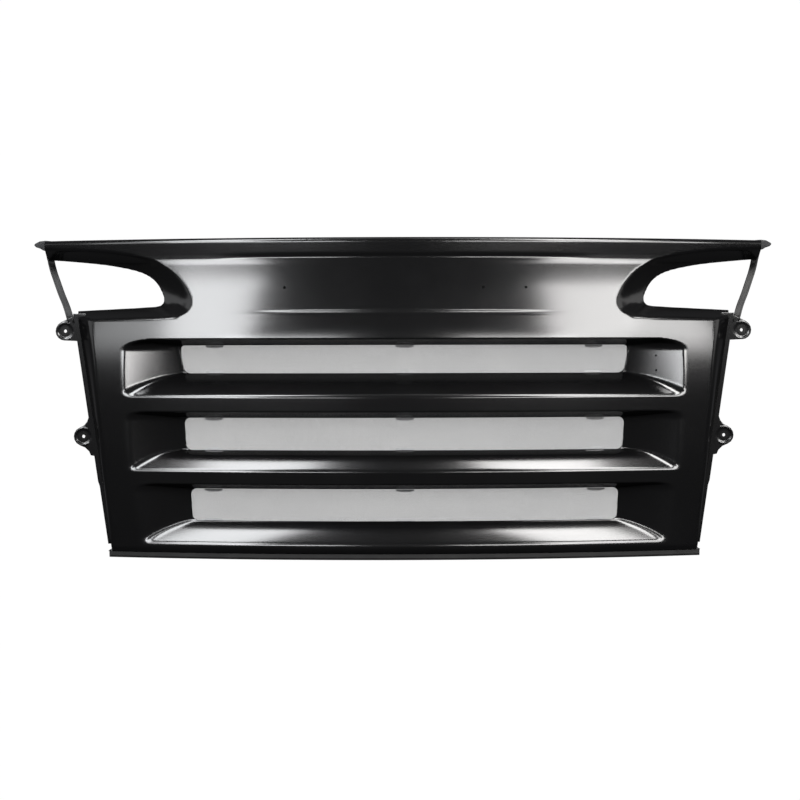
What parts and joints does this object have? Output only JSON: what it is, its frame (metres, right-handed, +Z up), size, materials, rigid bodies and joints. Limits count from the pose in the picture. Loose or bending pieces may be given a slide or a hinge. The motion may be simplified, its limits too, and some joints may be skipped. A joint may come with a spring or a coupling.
{
  "type": "truck cab front grille panel",
  "caption": "Bowed black front grille panel of a truck cab, with wide louvres backed by wire screens, teardrop openings in the upper corners and mounting ears down each side.",
  "frame": {"origin": "midway between the two upper mounting holes, on the face that seats on the cab", "axes": "+Z up, +X to the left-hand side of the cab, front face looks along -Y"},
  "size_m": [2.018, 0.3388, 0.848],
  "materials": {
    "shell_plastic": "satin moulded black",
    "screen_wire": "coated woven wire",
    "frame_plastic": "fine grained black",
    "clip_steel": "zinc plated",
    "rail_plastic": "grained black",
    "screw_steel": "zinc plated",
    "bush_plastic": "smooth black",
    "peg_plastic": "satin black",
    "strip_rubber": "matt black",
    "seal_rubber": "matt black"
  },
  "bodies": {
    "root": {"panel_shell": "shell_plastic", "upper_screen": "screen_wire", "middle_screen": "screen_wire", "lower_screen": "screen_wire", "upper_screen_frame": "frame_plastic", "middle_screen_frame": "frame_plastic", "lower_screen_frame": "frame_plastic", "upper_screen_clips": "clip_steel", "middle_screen_clips": "clip_steel", "lower_screen_clips": "clip_steel", "left_side_rail": "rail_plastic", "right_side_rail": "rail_plastic", "left_rail_screws": "screw_steel", "right_rail_screws": "screw_steel", "left_upper_bush": "bush_plastic", "left_lower_bush": "bush_plastic", "right_upper_bush": "bush_plastic", "right_lower_bush": "bush_plastic", "left_corner_peg": "peg_plastic", "right_corner_peg": "peg_plastic", "bottom_strip": "strip_rubber", "top_seal": "seal_rubber"}
  },
  "joints": []
}
